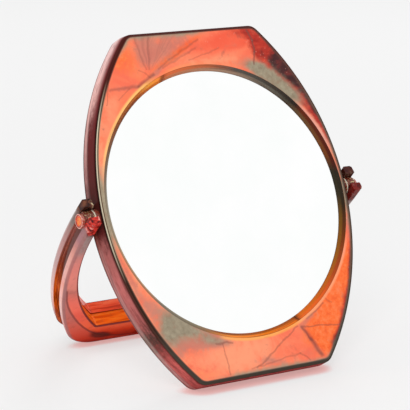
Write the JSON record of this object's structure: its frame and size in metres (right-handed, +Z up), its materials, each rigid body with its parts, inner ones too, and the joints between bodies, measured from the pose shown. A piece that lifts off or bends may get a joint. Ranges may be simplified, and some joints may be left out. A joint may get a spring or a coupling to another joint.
{
  "type": "vanity mirror",
  "caption": "Free-standing two-sided vanity mirror: a moulded frame with a flat and a magnifying glass, hinged on side pins to a U-shaped prop stand",
  "frame": {"origin": "On the surface it stands on, under the middle of its bounding box, as pictured: head leaning back, stand propping it", "axes": "+X along the pivot pins to the right as the user faces the flat glass, +Y to the back, +Z up"},
  "size_m": [0.1842, 0.1388, 0.1874],
  "materials": {
    "mottled_shell": "polished translucent plastic with smoky orange mottling",
    "mottled_stand": "polished translucent plastic with red-orange mottling",
    "pin_plastic": "polished translucent orange plastic",
    "mirror_glass": "silvered behind, polished",
    "foam": "soft closed-cell foam",
    "packing_board": "plain moulded ring",
    "washer_nylon": "plain nylon",
    "spring_steel": "plain spring steel"
  },
  "bodies": {
    "mirror_head": {"front_shell": "mottled_shell", "back_shell": "mottled_shell", "plain_mirror": "mirror_glass", "magnifying_mirror": "mirror_glass", "plain_mirror_pad": "foam", "spacer_ring": "packing_board", "magnifying_mirror_pad": "foam", "right_pivot_pin": "pin_plastic", "left_pivot_pin": "pin_plastic", "right_friction_washer": "washer_nylon", "left_friction_washer": "washer_nylon", "right_spring_washer": "spring_steel", "left_spring_washer": "spring_steel"},
    "stand": {"stand": "mottled_stand"}
  },
  "joints": [
    {"name": "head_tilt", "type": "hinge", "parent": "mirror_head", "child": "stand", "pos_m": [0, -0.02338, 0.09386], "axis": [1, 0, 0], "continuous": true}
  ]
}
